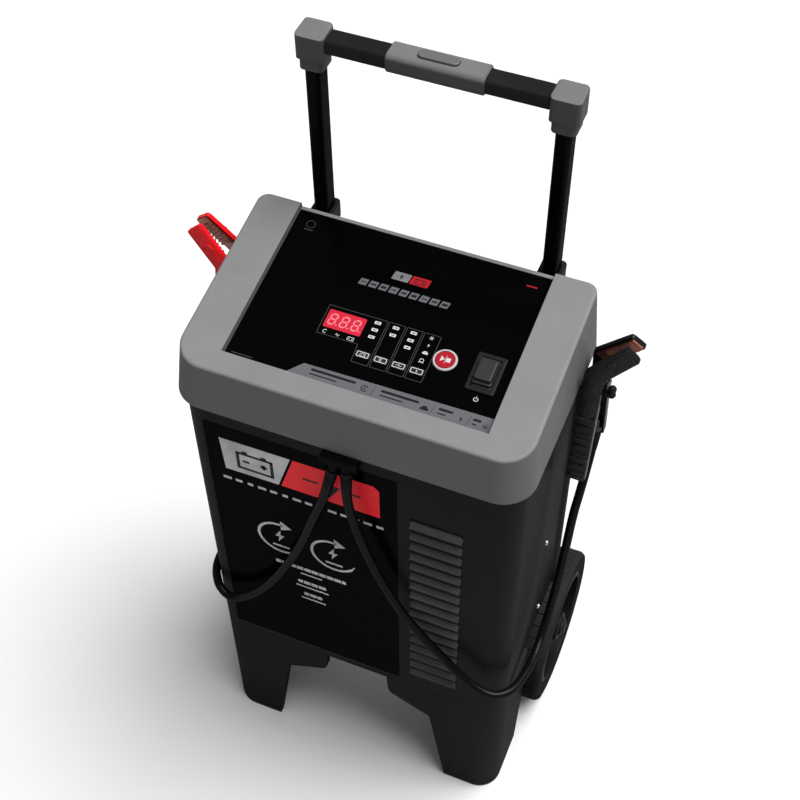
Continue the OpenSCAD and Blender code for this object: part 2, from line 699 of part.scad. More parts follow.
module front_arm(ear_in, ear_out) {
  w = arm_w;
  g = grip_len;
  rotate([-arm_lean, 0, 0]) difference() {
    union() {
      arm_plate(w, -g, jaw_len, 17, 21.5);
      arm_plate(w - 2.4, -g + 1, jaw_len - 1.2, 21.4, 22.6);
      arm_plate(w - 7, -g + 4, jaw_len - 4, 22.5, 23.4);
      arm_plate(w - 12, -30, 24, 23.3, 24.2);
      // hollow grip walls
      for (sx = [-1, 1]) translate([sx * (w / 2 - 1.25) - 1.25, -18, -g]) cube([2.5, 6, g - 16]);
      // guard ridge over the grip, round badge on the jaw
      translate([-w / 2, -25.4, -31]) cube([w, 4, 2.4]);
      translate([0, -23, bend_z]) rotate([0, jaw_tilt, 0]) translate([0, 0, 25]) rotate([90, 0, 0]) difference() {
        cylinder(r = 6, h = 1.8);
        translate([0, 0, 1]) cylinder(r = 4.6, h = 2);
      }
      translate([0, -22, 2]) rotate([90, 0, 0]) cylinder(r = 8, h = 2.6);
      // finger ribs
      for (k = [0:3]) translate([-w / 2 + 1.5, -25, -g + 2 + k * 26.5]) cube([w - 3, 4, 3]);
      // ears to the pivot
      for (sx = [-1, 1]) translate([sx * (ear_in + ear_out) / 2 - (ear_out - ear_in) / 2, 0, 0]) rotate([90, 0, 90])
        linear_extrude(ear_out - ear_in) {
          circle(6.5);
          polygon([[-18, 0], [0, -6.5], [0, 6.5], [-18, 12]]);
        }
    }
    // scooped finger grooves
    for (k = [0:2]) translate([0, -36, -g + 16.7 + k * 26.5]) rotate([0, 90, 0]) cylinder(r = 14.6, h = 60, center = true);
    rotate([0, 90, 0]) cylinder(r = 3.05, h = 60, center = true);
  }
}

// toothed copper jaw on the inner face of an arm
module jaw_plate() {
  teeth = 8;
  rotate([-arm_lean, 0, 0]) difference() {
    translate([0, -14.6, bend_z]) rotate([0, jaw_tilt, 0]) union() {
      translate([-7, -2.38, -2]) cube([14, 2.38, jaw_len + 1]);
      for (k = [0:teeth - 1]) translate([-7, 0, 14 + k * 4.6]) rotate([0, 90, 0]) linear_extrude(14)
        polygon([[2.2, -0.1], [0, 2.4], [-2.2, -0.1]]);
    }
  }
}

module rear_side() { mirror([0, 1, 0]) children(); }

// the rear arm takes the lead in a collar at the end of its grip
module rear_arm() {
  difference() {
    union() {
      rear_side() front_arm(3.4, 6.2);
      rotate([arm_lean, 0, 0]) translate([0, 19, -grip_len - 4]) cylinder(r = 6.8, h = 26);
    }
    rotate([arm_lean, 0, 0]) translate([0, 19, -grip_len - 5]) cylinder(r = lead_d / 2 + 0.05, h = 6);
  }
}

module black_clamp_front_arm() { color([0.06, 0.06, 0.065]) at_clamp(1) front_arm(6.7, 9.5); }

module black_clamp_rear_arm() { color([0.06, 0.06, 0.065]) at_clamp(1) rear_arm(); }

module black_clamp_jaws_front() { color([0.7, 0.42, 0.3]) at_clamp(1) jaw_plate(); }

module black_clamp_jaws_rear() { color([0.7, 0.42, 0.3]) at_clamp(1) rear_side() jaw_plate(); }

module red_clamp_front_arm() { color([0.75, 0.04, 0.05]) at_clamp(-1) front_arm(6.7, 9.5); }

module red_clamp_rear_arm() { color([0.75, 0.04, 0.05]) at_clamp(-1) rear_arm(); }

module red_clamp_jaws_front() { color([0.7, 0.42, 0.3]) at_clamp(-1) jaw_plate(); }

module red_clamp_jaws_rear() { color([0.7, 0.42, 0.3]) at_clamp(-1) rear_side() jaw_plate(); }

// pin and coiled spring of each clamp
module clamp_pivots() {
  turns = 5;
  color(c_steel) for (s = [-1, 1]) at_clamp(s) {
    rotate([0, 90, 0]) cylinder(r = 3, h = 21, center = true);
    for (sx = [-1, 1]) translate([sx * 10.9, 0, 0]) rotate([0, 90, 0]) cylinder(r = 4.6, h = 1.6, center = true);
    for (k = [0:turns - 1]) translate([(k - (turns - 1) / 2) * 1.3, 0, 0]) rotate([0, 90, 0])
      rotate_extrude() translate([3.7, 0]) circle(0.75);
  }
}

module clamp_hooks() {
  rod_r = 4;
  rod_z = -11;
  tip_x = 16.8;
  color(c_dark) for (s = [-1, 1]) at_clamp(s) {
    translate([side_x - pivot[0], 0, rod_z]) rotate([0, 90, 0]) cylinder(r = 15, h = 3);
    translate([side_x - pivot[0] + 2, 0, rod_z]) rotate([0, 90, 0]) cylinder(r = rod_r, h = tip_x + 22);
    translate([tip_x, 0, rod_z]) sphere(r = rod_r + 0.3);
    translate([tip_x, 0, rod_z]) cylinder(r = rod_r - 0.2, h = 8);
    translate([tip_x, 0, rod_z + 8]) sphere(r = rod_r + 0.3);
  }
}

// ---------------------------------------------------------------- inside
module transformer() {
  color([0.35, 0.33, 0.3]) place() translate([-60, 120, base_h + 10]) {
    difference() {
      translate([-55, -48, 0]) cube([110, 96, 90]);
      translate([-33, -60, 22]) cube([22, 120, 46]);
      translate([11, -60, 22]) cube([22, 120, 46]);
    }
    translate([-30, -60, 24]) cube([16, 120, 42]);
    translate([14, -60, 24]) cube([16, 120, 42]);
    translate([-64, -50, -10]) cube([128, 100, 10.1]);
  }
}

module power_board() {
  color([0.08, 0.3, 0.14]) place() translate([90, 60, base_h + 6]) {
    translate([-60, 0, 0]) cube([2, 130, 200]);
    // finned heat sink on the board
    translate([-58.1, 20, 30]) cube([6, 90, 140]);
    for (k = [0:9]) translate([-52.2, 22 + k * 9, 30]) cube([30, 2.4, 140]);
    // capacitors
    for (k = [0:2]) translate([-60 - 0.1, 40 + k * 28, 150]) rotate([0, -90, 0]) cylinder(r = 11, h = 34);
    translate([-64, -2, -6]) cube([10, 134, 8]);
  }
}

fan_z = 480;
fan_y = 212.5;

module cooling_fan_frame() {
  color(c_dark) place() translate([0, fan_y, fan_z]) rotate([90, 0, 0]) {
    difference() {
      rblock(120, 120, 25, 8);
      translate([0, 0, -1]) cylinder(r = 57, h = 21);
      translate([0, 0, 15]) difference() {
        cylinder(r = 57, h = 20);
        cylinder(r = 22, h = 20);
        for (a = [0, 90]) rotate([0, 0, a]) cube([130, 6, 60], center = true);
      }
      for (sx = [-1, 1]) for (sy = [-1, 1]) translate([sx * 52.5, sy * 52.5, -1]) cylinder(r = 2.2, h = 40);
    }
    translate([0, 0, 12]) cylinder(r = 3, h = 10);
  }
}

module fan_rotor() {
  blades = 7;
  color([0.2, 0.2, 0.21]) place() translate([0, fan_y, fan_z]) rotate([90, 0, 0]) difference() {
    union() {
      translate([0, 0, 2]) cylinder(r = 20, h = 16);
      for (k = [0:blades - 1]) rotate([0, 0, k * 360 / blades]) translate([18, 0, 10]) rotate([38, 0, 0])
        translate([0, -8, -1]) cube([36, 16, 2]);
    }
    translate([0, 0, 11]) cylinder(r = 3.05, h = 10);
  }
}

module mains_inlet() {
  color(c_dark) place() translate([88, body_d, 270]) difference() {
    union() {
      translate([0, 3, 0]) rotate([90, 0, 0]) rblock(60, 44, 3, 5);
      translate([-23.5, -26, -16.5]) cube([47, 26.5, 33]);
      for (x = [-12, 0, 12]) translate([x - 2, -34, -3]) cube([4, 8.1, 6]);
    }
    translate([0, 4, 0]) rotate([90, 0, 0]) rblock(34, 26, 22, 4);
  }
}

module shell_screws() {
  color(c_steel) place() {
    for (s = [-1, 1]) for (q = [[142, 366], [142, 230]])
      translate([s * (side_x + 0.9), q[0], q[1]]) rotate([0, 90 * s, 0]) screw(3.2, 1.6, 8);
    for (s = [-1, 1]) for (z = [240, 420, 560]) translate([s * 160, body_d + 0.9, z]) rotate([-90, 0, 0]) screw(3.2, 1.6, 8);
  }
}

// a cross-recess pan head with its shank pointing down -Z
module screw(head_r, shank_r, len) {
  difference() {
    union() {
      translate([0, 0, -0.9]) cylinder(r1 = head_r, r2 = head_r - 0.9, h = 2.2);
      translate([0, 0, -len]) cylinder(r = shank_r, h = len);
    }
    for (a = [0, 90]) rotate([0, 0, a]) translate([-head_r * 0.6, -0.35, 0.4]) cube([head_r * 1.2, 0.7, 2]);
  }
}

head_frame();
control_panel();
panel_overlay();
display_module();
display_digits();
display_lens();
cabinet_shell();
front_label_plate();
rear_shell();
base_plinth();
foot_pad(-1);  // left_foot_pad
foot_pad(1);  // right_foot_pad
start_button_ring();
start_stop_button();
rocker_housing();
power_rocker();
mode_button(0);  // mode_button_1
mode_button(1);  // mode_button_2
mode_button(2);  // mode_button_3
mode_button(3);  // mode_button_4
outer_tube(-1);  // left_outer_tube
outer_tube(1);  // right_outer_tube
tube_brackets();
tube_collars();
inner_tube(-1);  // left_inner_tube
inner_tube(1);  // right_inner_tube
corner_hub(-1);  // left_corner_hub
corner_hub(1);  // right_corner_hub
cross_bar();
centre_grip();
release_button();
latch_pin(-1);  // left_latch_pin
latch_pin(1);  // right_latch_pin
wheel_axle();
wheel_rim(-1);  // left_wheel_rim
tyre(-1);  // left_tyre
wheel_rim(1);  // right_wheel_rim
tyre(1);  // right_tyre
axle_caps();
cable_gland();
black_lead();
red_lead();
clamp_hooks();
black_clamp_front_arm();
black_clamp_rear_arm();
black_clamp_jaws_front();
black_clamp_jaws_rear();
red_clamp_front_arm();
red_clamp_rear_arm();
red_clamp_jaws_front();
red_clamp_jaws_rear();
clamp_pivots();
transformer();
power_board();
cooling_fan_frame();
fan_rotor();
mains_inlet();
shell_screws();
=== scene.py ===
import math

import bmesh
import bpy
from mathutils import Matrix, Vector


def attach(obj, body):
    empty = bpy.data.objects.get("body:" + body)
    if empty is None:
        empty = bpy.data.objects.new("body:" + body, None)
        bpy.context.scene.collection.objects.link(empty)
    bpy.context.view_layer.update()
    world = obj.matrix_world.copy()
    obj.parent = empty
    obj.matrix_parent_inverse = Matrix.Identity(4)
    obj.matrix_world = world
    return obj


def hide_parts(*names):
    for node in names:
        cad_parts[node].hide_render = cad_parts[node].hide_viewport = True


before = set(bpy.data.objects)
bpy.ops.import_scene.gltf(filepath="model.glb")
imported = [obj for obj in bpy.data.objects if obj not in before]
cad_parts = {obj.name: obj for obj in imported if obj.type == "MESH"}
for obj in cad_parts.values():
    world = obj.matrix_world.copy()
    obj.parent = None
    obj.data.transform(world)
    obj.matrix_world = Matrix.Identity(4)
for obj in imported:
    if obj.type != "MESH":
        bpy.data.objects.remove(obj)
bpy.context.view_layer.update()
scene = bpy.context.scene

MM = 0.001
FRONT_Y = 142.7  # the drawing's front wall lies this far in front of the frame's origin, in mm

# ---------------------------------------------------------------- camera
LENS_MM, SENSOR_MM = 63.8, 36
CAMERA_AT = (0.368, -0.8827, 1.700)
CAMERA_LOOK = Vector((-0.24464, 0.58646, -0.77215))
CAMERA_ROLL = math.radians(-0.6)

cam_data = bpy.data.cameras.new("camera")
cam_data.lens = LENS_MM
cam_data.sensor_width = SENSOR_MM
cam = bpy.data.objects.new("camera", cam_data)
scene.collection.objects.link(cam)
cam.location = CAMERA_AT
cam.rotation_mode = "QUATERNION"
cam.rotation_quaternion = (CAMERA_LOOK.to_track_quat("-Z", "Y")
                           @ Matrix.Rotation(CAMERA_ROLL, 3, "Z").to_quaternion())
scene.camera = cam


# ---------------------------------------------------------------- node helpers
def new_mat(name):
    m = bpy.data.materials.new(name)
    m.use_nodes = True
    nt = m.node_tree
    nt.nodes.clear()
    out = nt.nodes.new("ShaderNodeOutputMaterial")
    bsdf = nt.nodes.new("ShaderNodeBsdfPrincipled")
    nt.links.new(bsdf.outputs[0], out.inputs[0])
    co = nt.nodes.new("ShaderNodeTexCoord")
    return m, nt, bsdf, co.outputs["Object"]


def noise(nt, co, scale, detail=3.0, rough=0.5, stretch=None):
    if stretch:
        mp = nt.nodes.new("ShaderNodeMapping")
        mp.inputs["Scale"].default_value = stretch
        nt.links.new(co, mp.inputs["Vector"])
        co = mp.outputs[0]
    n = nt.nodes.new("ShaderNodeTexNoise")
    n.inputs["Scale"].default_value = scale
    n.inputs["Detail"].default_value = detail
    n.inputs["Roughness"].default_value = rough
    nt.links.new(co, n.inputs["Vector"])
    return n.outputs["Fac"]


def remap(nt, fac, a, b, lo=0.3, hi=0.7):
    """Takes the range lo to hi to the range a to b."""
    r = nt.nodes.new("ShaderNodeMapRange")
    r.inputs["From Min"].default_value = lo
    r.inputs["From Max"].default_value = hi
    r.inputs["To Min"].default_value = a
    r.inputs["To Max"].default_value = b
    nt.links.new(fac, r.inputs["Value"])
    return r.outputs[0]


def product(nt, a, b):
    m = nt.nodes.new("ShaderNodeMath")
    m.operation = "MULTIPLY"
    nt.links.new(a, m.inputs[0])
    nt.links.new(b, m.inputs[1])
    return m.outputs[0]


def face_normal(nt):
    return nt.nodes.new("ShaderNodeNewGeometry").outputs["Normal"]


def blend_color(nt, fac, a, b):
    """Mixes colour a, a tuple or a socket, into colour b, a tuple."""
    mx = nt.nodes.new("ShaderNodeMix")
    mx.data_type = "RGBA"
    nt.links.new(fac, mx.inputs["Factor"])
    if isinstance(a, tuple):
        mx.inputs["A"].default_value = (*a, 1)
    else:
        nt.links.new(a, mx.inputs["A"])
    mx.inputs["B"].default_value = (*b, 1)
    return mx.outputs["Result"]


def surface(name, base, rough, vary=0.12, rough_vary=0.08, grain=900.0, grain_depth=0.02, edge=0.8, wear_and_edge_highlight=0.0,
            metallic=0.0, coat=0.0, specular=0.5, broad=14.0, stretch=None, coat_rough=0.08, painted_top_light=0.0):
    """Moulded or painted surface: broad tone changes, fine grain, rounded edges lightened partly by wear and
    partly by a painted edge highlight, and painted light from above on faces that look up.
    """
    m, nt, bsdf, co = new_mat(name)
    dark = tuple(c * (1 - vary) for c in base)
    light = tuple(min(1, c * (1 + vary)) for c in base)
    tone = blend_color(nt, remap(nt, noise(nt, co, broad, 4.0, 0.6), 0, 1), dark, light)
    # painted light from above: faces that look up are lightened, a little patchily
    if painted_top_light:
        up = nt.nodes.new("ShaderNodeSeparateXYZ")
        nt.links.new(face_normal(nt), up.inputs[0])
        top_light_mask = product(nt, remap(nt, up.outputs["Z"], 0, 1, 0.15, 0.55),
                          remap(nt, noise(nt, co, 24.0, 4.0, 0.6), 0.75, 1.0))
        tone = blend_color(nt, top_light_mask, tone, tuple(c + painted_top_light for c in base))
    bevel = nt.nodes.new("ShaderNodeBevel")
    bevel.samples = 6
    bevel.inputs["Radius"].default_value = edge * MM
    # edges are lightened: partly real wear, partly a painted edge highlight
    if wear_and_edge_highlight:
        dot = nt.nodes.new("ShaderNodeVectorMath")
        dot.operation = "DOT_PRODUCT"
        nt.links.new(bevel.outputs[0], dot.inputs[0])
        nt.links.new(face_normal(nt), dot.inputs[1])
        worn_and_lit_edges = product(nt, remap(nt, dot.outputs["Value"], wear_and_edge_highlight, 0.0, 0.86, 0.995),
                       remap(nt, noise(nt, co, 120.0, 3.0), 0.2, 1.0))
        tone = blend_color(nt, worn_and_lit_edges, tone, tuple(min(1, c * 2.2 + 0.02) for c in base))
    nt.links.new(tone, bsdf.inputs["Base Color"])
    nt.links.new(remap(nt, noise(nt, co, broad * 3, 5.0, 0.6), rough - rough_vary, rough + rough_vary),
                 bsdf.inputs["Roughness"])
    bsdf.inputs["Metallic"].default_value = metallic
    bsdf.inputs["Specular IOR Level"].default_value = specular
    bsdf.inputs["Coat Weight"].default_value = coat
    bsdf.inputs["Coat Roughness"].default_value = coat_rough
    bump = nt.nodes.new("ShaderNodeBump")
    bump.inputs["Strength"].default_value = 0.6
    bump.inputs["Distance"].default_value = grain_depth * MM
    nt.links.new(noise(nt, co, grain, 2.0, 0.5, stretch), bump.inputs["Height"])
    nt.links.new(bevel.outputs[0], bump.inputs["Normal"])
    nt.links.new(bump.outputs[0], bsdf.inputs["Normal"])
    nt.links.new(bump.outputs[0], bsdf.inputs["Coat Normal"])
    return m


def ink(name, base, rough=0.4, vary=0.06, rough_vary=0.05, broad=14.0):
    """Flat print: hardly any grain or sheen."""
    return surface(name, base, rough, vary=vary, rough_vary=rough_vary, grain=900, grain_depth=0.004,
                   edge=0.05, specular=0.06, broad=broad)


def glow(name, base, power, rough=0.35):
    """Lit plastic, a little uneven."""
    m, nt, bsdf, co = new_mat(name)
    f = remap(nt, noise(nt, co, 300.0), 0.85, 1.0)
    nt.links.new(blend_color(nt, f, tuple(c * 0.05 for c in base), tuple(c * 0.08 for c in base)),
                 bsdf.inputs["Base Color"])
    nt.links.new(blend_color(nt, f, tuple(c * 0.9 for c in base), base), bsdf.inputs["Emission Color"])
    bsdf.inputs["Specular IOR Level"].default_value = 0.1
    bsdf.inputs["Emission Strength"].default_value = power
    bsdf.inputs["Roughness"].default_value = rough
    return m


# ---------------------------------------------------------------- materials
# the dark plastics have no base reflection: a thin coat gives them their sheen
GREY = surface("head_grey_plastic", (0.074, 0.074, 0.076), 0.5, vary=0.05, rough_vary=0.06, grain=1500,
               grain_depth=0.03, edge=1.4, wear_and_edge_highlight=0.25, broad=9, specular=0.0, coat=0.12, coat_rough=0.36,
               painted_top_light=0.046)
HANDLE_GREY = surface("handle_grey_plastic", (0.044, 0.044, 0.046), 0.5, vary=0.06, rough_vary=0.06,
                      grain=1500, grain_depth=0.03, edge=1.2, wear_and_edge_highlight=0.3, broad=14, specular=0.0, coat=0.16,
                      coat_rough=0.34, painted_top_light=0.05)
BLACK = surface("cabinet_black_plastic", (0.0058, 0.0058, 0.0062), 0.5, vary=0.16, rough_vary=0.08,
                grain=1300, grain_depth=0.04, edge=1.2, wear_and_edge_highlight=0.5, broad=8, specular=0.0, coat=0.085,
                coat_rough=0.3, painted_top_light=0.042)
BASE = surface("base_black_plastic", (0.0066, 0.0066, 0.0069), 0.5, vary=0.16, rough_vary=0.08,
               grain=1200, grain_depth=0.05, edge=1.5, wear_and_edge_highlight=0.5, broad=8, specular=0.0, coat=0.085,
               coat_rough=0.36, painted_top_light=0.006)
FILM = surface("panel_gloss_film", (0.0006, 0.0006, 0.0007), 0.3, vary=0.2, rough_vary=0.04, grain=500,
               grain_depth=0.004, edge=0.3, specular=0.0, coat=0.06, coat_rough=0.12)
LABEL = surface("label_gloss_film", (0.0009, 0.0009, 0.0014), 0.3, vary=0.2, rough_vary=0.04, grain=500,
                grain_depth=0.004, edge=0.3, specular=0.0, coat=0.03, coat_rough=0.14)
SATIN = surface("satin_black_plastic", (0.008, 0.008, 0.0083), 0.44, vary=0.14, rough_vary=0.06,
                grain=1400, grain_depth=0.03, edge=0.6, wear_and_edge_highlight=0.5, specular=0.0, coat=0.12,
                coat_rough=0.28)
ROCKER = surface("rocker_black_plastic", (0.0105, 0.0105, 0.0108), 0.4, vary=0.1, rough_vary=0.05,
                 grain=1400, grain_depth=0.02, edge=0.7, wear_and_edge_highlight=0.6, specular=0.0, coat=0.2, coat_rough=0.3,
                 painted_top_light=0.006)
KEYCAP = surface("key_black_plastic", (0.006, 0.006, 0.0065), 0.42, vary=0.06, rough_vary=0.05,
                 grain=1400, grain_depth=0.02, edge=0.5, specular=0.1)
BUTTON_GREY = surface("release_grey_plastic", (0.06, 0.06, 0.062), 0.46, vary=0.08, rough_vary=0.05,
                      grain=1400, grain_depth=0.03, edge=0.8, wear_and_edge_highlight=0.3, specular=0.3)
PAINT = surface("tube_black_paint", (0.0012, 0.0012, 0.0014), 0.4, vary=0.2, rough_vary=0.08, grain=700,
                grain_depth=0.012, edge=0.8, wear_and_edge_highlight=0.15, specular=0.0, coat=0.05, coat_rough=0.2)
BRACKET = surface("bracket_black_paint", (0.007, 0.007, 0.0075), 0.44, vary=0.2, rough_vary=0.08,
                  grain=700, grain_depth=0.03, edge=0.8, wear_and_edge_highlight=0.6, specular=0.0, coat=0.16,
                  coat_rough=0.25)
STEEL = surface("zinc_steel", (0.32, 0.32, 0.315), 0.34, vary=0.1, rough_vary=0.1, grain=260,
                grain_depth=0.01, edge=0.4, metallic=1.0, stretch=(1, 8, 8))
RIM = surface("wheel_black_plastic", (0.005, 0.005, 0.0053), 0.44, vary=0.14, rough_vary=0.08, grain=1200,
              grain_depth=0.04, edge=1.0, wear_and_edge_highlight=0.5, specular=0.0, coat=0.14, coat_rough=0.25)
TYRE = surface("tyre_rubber", (0.0052, 0.0052, 0.0054), 0.68, vary=0.3, rough_vary=0.1, grain=420,
               grain_depth=0.1, edge=0.8, wear_and_edge_highlight=0.4, broad=20, specular=0.0, coat=0.06, coat_rough=0.5,
               painted_top_light=0.006)
FOOT = surface("foot_rubber", (0.015, 0.015, 0.015), 0.8, vary=0.2, rough_vary=0.08, grain=600,
               grain_depth=0.1, edge=0.6)
JACKET = surface("lead_rubber_jacket", (0.0024, 0.0024, 0.0026), 0.4, vary=0.16, rough_vary=0.08,
                 grain=500, grain_depth=0.02, edge=0.3, broad=30, specular=0.0, coat=0.12,
                 coat_rough=0.24)
CLAMP_K = surface("clamp_black_nylon", (0.0042, 0.0042, 0.0045), 0.4, vary=0.16, rough_vary=0.08,
                  grain=1100, grain_depth=0.03, edge=0.9, wear_and_edge_highlight=1.0, specular=0.0, coat=0.3,
                  coat_rough=0.22)
CLAMP_R = surface("clamp_red_nylon", (0.46, 0.006, 0.01), 0.36, vary=0.14, rough_vary=0.08, grain=1100,
                  grain_depth=0.02, edge=0.9, wear_and_edge_highlight=0.12, specular=0.0, coat=0.25, coat_rough=0.2)
COPPER = surface("copper_plate", (0.2, 0.075, 0.055), 0.4, vary=0.3, rough_vary=0.12, grain=240,
                 grain_depth=0.03, edge=0.3, metallic=0.9, broad=60)
CORE = surface("lamination_steel", (0.10, 0.095, 0.09), 0.5, vary=0.2, rough_vary=0.1, grain=300,
               grain_depth=0.05, edge=0.5, metallic=0.6, stretch=(1, 1, 20))
BOARD = surface("board_and_heatsink", (0.12, 0.2, 0.15), 0.5, vary=0.2, rough_vary=0.1, grain=500,
                grain_depth=0.03, edge=0.4, metallic=0.2)
RED_CAP = surface("start_red_plastic", (0.2, 0.008, 0.014), 0.34, vary=0.06, rough_vary=0.05, grain=900,
                  grain_depth=0.01, edge=0.5, specular=0.0, coat=0.1)
RING = surface("start_ring_pale", (0.27, 0.25, 0.25), 0.32, vary=0.05, rough_vary=0.05, grain=900,
               grain_depth=0.01, edge=0.4, specular=0.1, coat=0.1)
SEGMENTS = glow("lit_segments", (0.95, 0.27, 0.31), 0.95)
WINDOW = glow("lit_window", (0.78, 0.028, 0.06), 0.8, 0.2)
INK_WHITE = ink("ink_white", (0.3, 0.3, 0.3))
INK_GREY = ink("ink_grey", (0.062, 0.063, 0.068), rough=0.36, vary=0.05)
INK_LINE = ink("ink_line_grey", (0.032, 0.032, 0.033))
INK_RED = ink("ink_red", (0.22, 0.006, 0.009), rough=0.36)
INK_BLACK = ink("ink_black", (0.006, 0.006, 0.007), vary=0.1)
INK_SILVER = ink("ink_silver", (0.1, 0.1, 0.104), rough=0.32, vary=0.16, rough_vary=0.06, broad=30)
LABEL_SILVER = ink("label_silver", (0.33, 0.33, 0.34), rough=0.32, vary=0.3, rough_vary=0.06, broad=22)
LABEL_RED = ink("label_red", (0.6, 0.012, 0.018), rough=0.36)

LOOKS = {
    GREY: "head_frame",
    HANDLE_GREY: "left_corner_hub right_corner_hub centre_grip",
    BLACK: "cabinet_shell rear_shell control_panel",
    BASE: "base_plinth",
    FILM: "panel_overlay",
    LABEL: "front_label_plate",
    SATIN: "cross_bar display_module rocker_housing power_rocker tube_collars clamp_hooks cooling_fan_frame "
           "fan_rotor mains_inlet",
    KEYCAP: "mode_button_1 mode_button_2 mode_button_3 mode_button_4",
    BUTTON_GREY: "release_button",
    PAINT: "cable_gland left_outer_tube right_outer_tube left_inner_tube right_inner_tube",
    BRACKET: "tube_brackets clamp_pivots axle_caps",
    STEEL: "left_latch_pin right_latch_pin wheel_axle shell_screws",
    RIM: "left_wheel_rim right_wheel_rim",
    TYRE: "left_tyre right_tyre",
    FOOT: "left_foot_pad right_foot_pad",
    JACKET: "black_lead red_lead",
    CLAMP_K: "black_clamp_front_arm black_clamp_rear_arm",
    CLAMP_R: "red_clamp_front_arm red_clamp_rear_arm",
    COPPER: "black_clamp_jaws_front black_clamp_jaws_rear red_clamp_jaws_front red_clamp_jaws_rear",
    CORE: "transformer",
    BOARD: "power_board",
    RED_CAP: "start_stop_button",
    RING: "start_button_ring",
    SEGMENTS: "display_digits",
    WINDOW: "display_lens",
}
for look_mat, names in LOOKS.items():
    for node in names.split():
        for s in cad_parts[node].material_slots:
            s.material = look_mat


# ---------------------------------------------------------------- mesh helpers
def skin(bm, rings):
    """Joins closed rings of points one to the next and caps both ends."""
    rows = [[bm.verts.new(p) for p in ring] for ring in rings]
    n = len(rows[0])
    for a, b in zip(rows, rows[1:]):
        for k in range(n):
            bm.faces.new((a[k], a[(k + 1) % n], b[(k + 1) % n], b[k]))
    bm.faces.new(rows[0][::-1])
    bm.faces.new(rows[-1])


def round_rect(x0, x1, y0, y1, r, steps):
    """Corner points of a rectangle with rounded corners, each of them an arc of so many steps."""
    pts = []
    for sx, sy, a0 in ((1, 1, 0), (-1, 1, 90), (-1, -1, 180), (1, -1, 270)):
        cx, cy = (x1 - r if sx > 0 else x0 + r), (y1 - r if sy > 0 else y0 + r)
        for k in range(steps + 1):
            a = math.radians(a0 + 90 * k / steps)
            pts.append((cx + r * math.cos(a), cy + r * math.sin(a)))
    return pts


def finish_mesh(name, bm, mat, body, smooth=False):
    me = bpy.data.meshes.new(name)
    bm.to_mesh(me)
    bm.free()
    if smooth:
        for p in me.polygons:
            p.use_smooth = True
    me.materials.append(mat)
    ob = bpy.data.objects.new(name, me)
    scene.collection.objects.link(ob)
    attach(ob, body)
    return ob


# ---------------------------------------------------------------- leads
LEAD_R = 5.0
GLAND_FACE, CLAMP_FACE = 0.6085, 0.5125  # heights in m below which the sleeves at the two ends start
# route points in the drawing's mm: right, back, up
BLACK_ROUTE = [(7, -10.5, 622), (7, -11, 604), (8, -14, 565), (13, -14, 531), (25, -14, 484),
               (41, -14, 438), (63, -14, 390), (84, -14, 358), (110, -14, 325), (137, -15, 296),
               (158, -15, 281), (176, -11, 275), (190, 4, 273), (196, 30, 268), (198, 62, 264),
               (198, 90, 276), (199, 108, 302), (200, 122, 335), (200, 137, 375), (200, 152, 420),
               (201, 166, 448), (201, 184, 470), (200.5, 199, 487), (200, 206.5, 501), (200, 204.8, 516.4)]
RED_ROUTE = [(-5.5, -10.5, 622), (-7, -11, 604), (-19, -14, 551), (-33, -14, 507), (-50, -14, 452),
             (-72, -14, 397), (-94, -14, 351), (-116, -14, 317), (-137, -14, 295), (-153, -13, 288),
             (-166, -8, 292), (-175, 2, 293), (-182, 14, 290), (-187, 30, 287), (-190, 60, 285),
             (-194, 90, 292), (-197, 110, 312), (-199, 125, 345), (-200, 140, 385), (-200, 152, 421),
             (-201, 166, 448), (-201, 184, 470), (-200.5, 199, 487), (-200, 206.5, 501),
             (-200, 204.8, 516.4)]


def catmull(p, n):
    """The same curve through the route points that the CAD tube follows."""
    pts = [Vector(q) for q in p]
    out = []
    for i in range(len(pts) - 1):
        a, b, c, d = pts[max(i - 1, 0)], pts[i], pts[i + 1], pts[min(i + 2, len(pts) - 1)]
        for k in range(n):
            t = k / n
            out.append(0.5 * ((2 * b) + (c - a) * t + (2 * a - 5 * b + 4 * c - d) * t * t
                              + (3 * b - a - 3 * c + d) * t ** 3))
    out.append(pts[-1])
    return out


def lead(name, route, node):
    pts = [Vector((p.x, p.y - FRONT_Y, p.z)) * MM for p in catmull(route, 6)]
    cu = bpy.data.curves.new(name, "CURVE")
    cu.dimensions = "3D"
    cu.bevel_depth = LEAD_R * MM
    cu.bevel_resolution = 6
    cu.use_fill_caps = True
    sp = cu.splines.new("POLY")
    sp.points.add(len(pts) - 1)
    for q, p in zip(sp.points, pts):
        q.co = (*p, 1)
    sp.use_smooth = True
    ob = bpy.data.objects.new(name, cu)
    scene.collection.objects.link(ob)
    cu.materials.append(JACKET)
    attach(ob, "chassis")
    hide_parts(node)
    return ob, pts


def sleeve(name, pts, profile, sides=28):
    """Tapered rubber sleeve along the first points of a path; profile is (distance, radius) in mm."""
    walk, at, i = [], 0.0, 0
    for d, r in profile:
        while i < len(pts) - 2 and at + (pts[i + 1] - pts[i]).length < d * MM:
            at += (pts[i + 1] - pts[i]).length
            i += 1
        seg = pts[i + 1] - pts[i]
        walk.append((pts[i] + seg * max(0.0, (d * MM - at) / seg.length), seg.normalized(), r * MM))
    rings = []
    ref = Vector((1, 0, 0))
    for c, t, r in walk:
        ref = (ref - t * ref.dot(t)).normalized()
        side = t.cross(ref)
        rings.append([c + r * (math.cos(a) * ref + math.sin(a) * side)
                      for a in [k * math.tau / sides for k in range(sides)]])
    bm = bmesh.new()
    skin(bm, rings)
    bmesh.ops.recalc_face_normals(bm, faces=bm.faces[:])
    finish_mesh(name, bm, JACKET, "chassis", smooth=True)


